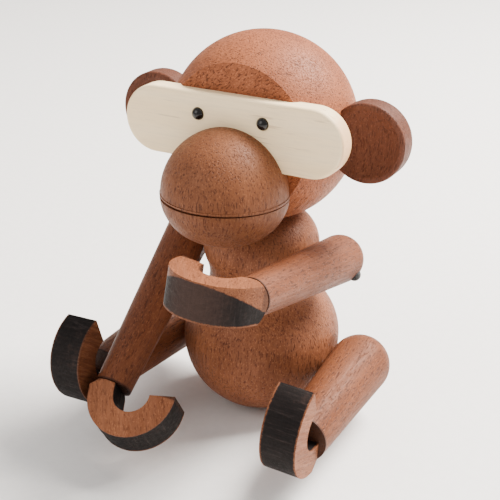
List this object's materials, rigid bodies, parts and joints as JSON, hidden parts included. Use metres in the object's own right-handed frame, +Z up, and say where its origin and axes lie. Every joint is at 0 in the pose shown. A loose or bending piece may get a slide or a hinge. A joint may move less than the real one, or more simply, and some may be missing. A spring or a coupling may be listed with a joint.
{
  "type": "jointed wooden monkey figure",
  "caption": "Jointed wooden monkey, seated, with a turned ball head, pale face plate, domed muzzle, round ears and hooked hands and feet that turn.",
  "frame": {"origin": "on the torso's axis, in the flat seat under the belly, at the height of the surface it sits on", "axes": "+Z up, the figure faces -Y and its own left is +X"},
  "size_m": [0.1042, 0.1114, 0.137],
  "materials": {
    "brown_wood": "oiled, fine open pores, satin",
    "pale_wood": "smooth, oiled, pale",
    "stained_wood": "curved faces stained black and brushed, flat sawn faces left brown",
    "bead": "polished",
    "cord": "elastic cord, woven"
  },
  "bodies": {
    "torso": {"torso": "brown_wood", "shoulder_cord": "cord", "hip_cord": "cord", "neck_cord": "cord"},
    "head": {"head": "brown_wood", "face_plate": "pale_wood", "left_eye": "bead", "right_eye": "bead", "muzzle": "brown_wood", "muzzle_dowel": "pale_wood", "left_ear": "brown_wood", "right_ear": "brown_wood", "left_ear_dowel": "pale_wood", "right_ear_dowel": "pale_wood"},
    "left_arm": {"left_arm": "brown_wood", "left_arm_knot": "cord", "left_wrist_dowel": "pale_wood"},
    "left_hand": {"left_hand": "stained_wood"},
    "left_leg": {"left_leg": "brown_wood", "left_leg_knot": "cord", "left_ankle_dowel": "pale_wood"},
    "left_foot": {"left_foot": "stained_wood"},
    "right_arm": {"right_arm": "brown_wood", "right_arm_knot": "cord", "right_wrist_dowel": "pale_wood"},
    "right_hand": {"right_hand": "stained_wood"},
    "right_leg": {"right_leg": "brown_wood", "right_leg_knot": "cord", "right_ankle_dowel": "pale_wood"},
    "right_foot": {"right_foot": "stained_wood"}
  },
  "joints": [
    {"name": "head_turn", "type": "hinge", "parent": "torso", "child": "head", "pos_m": [0, 0.0015, 0.10503], "axis": [0, 0, 1], "range_deg": [-90, 90]},
    {"name": "left_shoulder", "type": "hinge", "parent": "torso", "child": "left_arm", "pos_m": [0.02844, 0.00279, 0.06059], "axis": [0.9816, 0.0103, 0.1908], "range_deg": [-15, 20]},
    {"name": "right_shoulder", "type": "hinge", "parent": "torso", "child": "right_arm", "pos_m": [-0.02855, -0.00119, 0.06059], "axis": [0.9735, 0.1264, -0.1908], "range_deg": [-30, 0]},
    {"name": "left_wrist", "type": "hinge", "parent": "left_arm", "child": "left_hand", "pos_m": [0.02834, -0.0598, 0.07407], "axis": [-0.0311, -0.9767, 0.2125], "range_deg": [-60, 60]},
    {"name": "right_wrist", "type": "hinge", "parent": "right_arm", "child": "right_hand", "pos_m": [-0.03051, -0.05445, 0.0251], "axis": [-0.001, -0.8312, -0.556], "range_deg": [0, 20]},
    {"name": "left_hip", "type": "hinge", "parent": "torso", "child": "left_leg", "pos_m": [0.03731, 0.00319, 0.02073], "axis": [0.9976, 0.0052, -0.0698], "range_deg": [-20, 8]},
    {"name": "right_hip", "type": "hinge", "parent": "torso", "child": "right_leg", "pos_m": [-0.03699, 0.00579, 0.02073], "axis": [0.9948, -0.0748, 0.0698], "range_deg": [0, 8]},
    {"name": "left_ankle", "type": "hinge", "parent": "left_leg", "child": "left_foot", "pos_m": [0.0372, -0.04569, 0.01546], "axis": [0.0034, -0.9997, -0.0261], "range_deg": [-60, 60]},
    {"name": "right_ankle", "type": "hinge", "parent": "right_leg", "child": "right_foot", "pos_m": [-0.04045, -0.04315, 0.01759], "axis": [-0.0762, -0.9969, 0.0174], "range_deg": [0, 40]}
  ]
}
